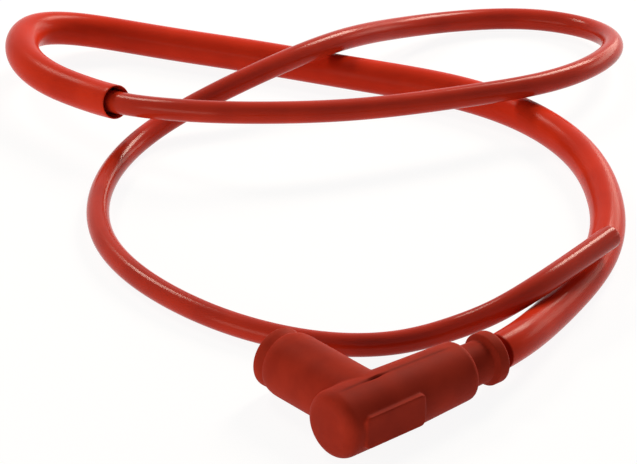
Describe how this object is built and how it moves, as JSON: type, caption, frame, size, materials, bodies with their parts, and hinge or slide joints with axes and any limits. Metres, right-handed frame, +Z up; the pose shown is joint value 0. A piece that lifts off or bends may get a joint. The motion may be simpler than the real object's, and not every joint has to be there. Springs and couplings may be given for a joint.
{
  "type": "spark plug cap",
  "caption": "Right-angle resistor spark plug cap in soft red rubber, with its own ignition lead looped on the bench and a protective sleeve over the lead's first half.",
  "frame": {"origin": "bottom centre of the cap's own box, on the surface that the cap lies on, without the lead and its sleeve", "axes": "+X along the body towards the lead, +Y along the plug leg out of its mouth, +Z up from the surface it lies on"},
  "size_m": [0.2444, 0.2679, 0.0236],
  "materials": {
    "cap_rubber": "matte moulded silicone rubber, dark red",
    "lead_jacket": "glossy extruded silicone jacket, bright red",
    "sleeve": "satin extruded sleeve, red",
    "insulator": "moulded phenolic, dark brown",
    "ceramic": "fired ceramic rod, off-white",
    "brass": "turned brass",
    "spring_steel": "drawn spring wire"
  },
  "bodies": {
    "root": {"cap_body": "cap_rubber", "plug_seal": "cap_rubber", "cable_seal": "cap_rubber", "leg_insulator": "insulator", "body_insulator": "insulator", "terminal_socket": "brass", "terminal_clip": "spring_steel", "contact_block": "brass", "contact_spring": "spring_steel", "resistor_cap_1": "brass", "resistor_rod": "ceramic", "resistor_cap_2": "brass", "cable_screw": "brass", "lead": "lead_jacket", "protective_sleeve": "sleeve"}
  },
  "joints": []
}
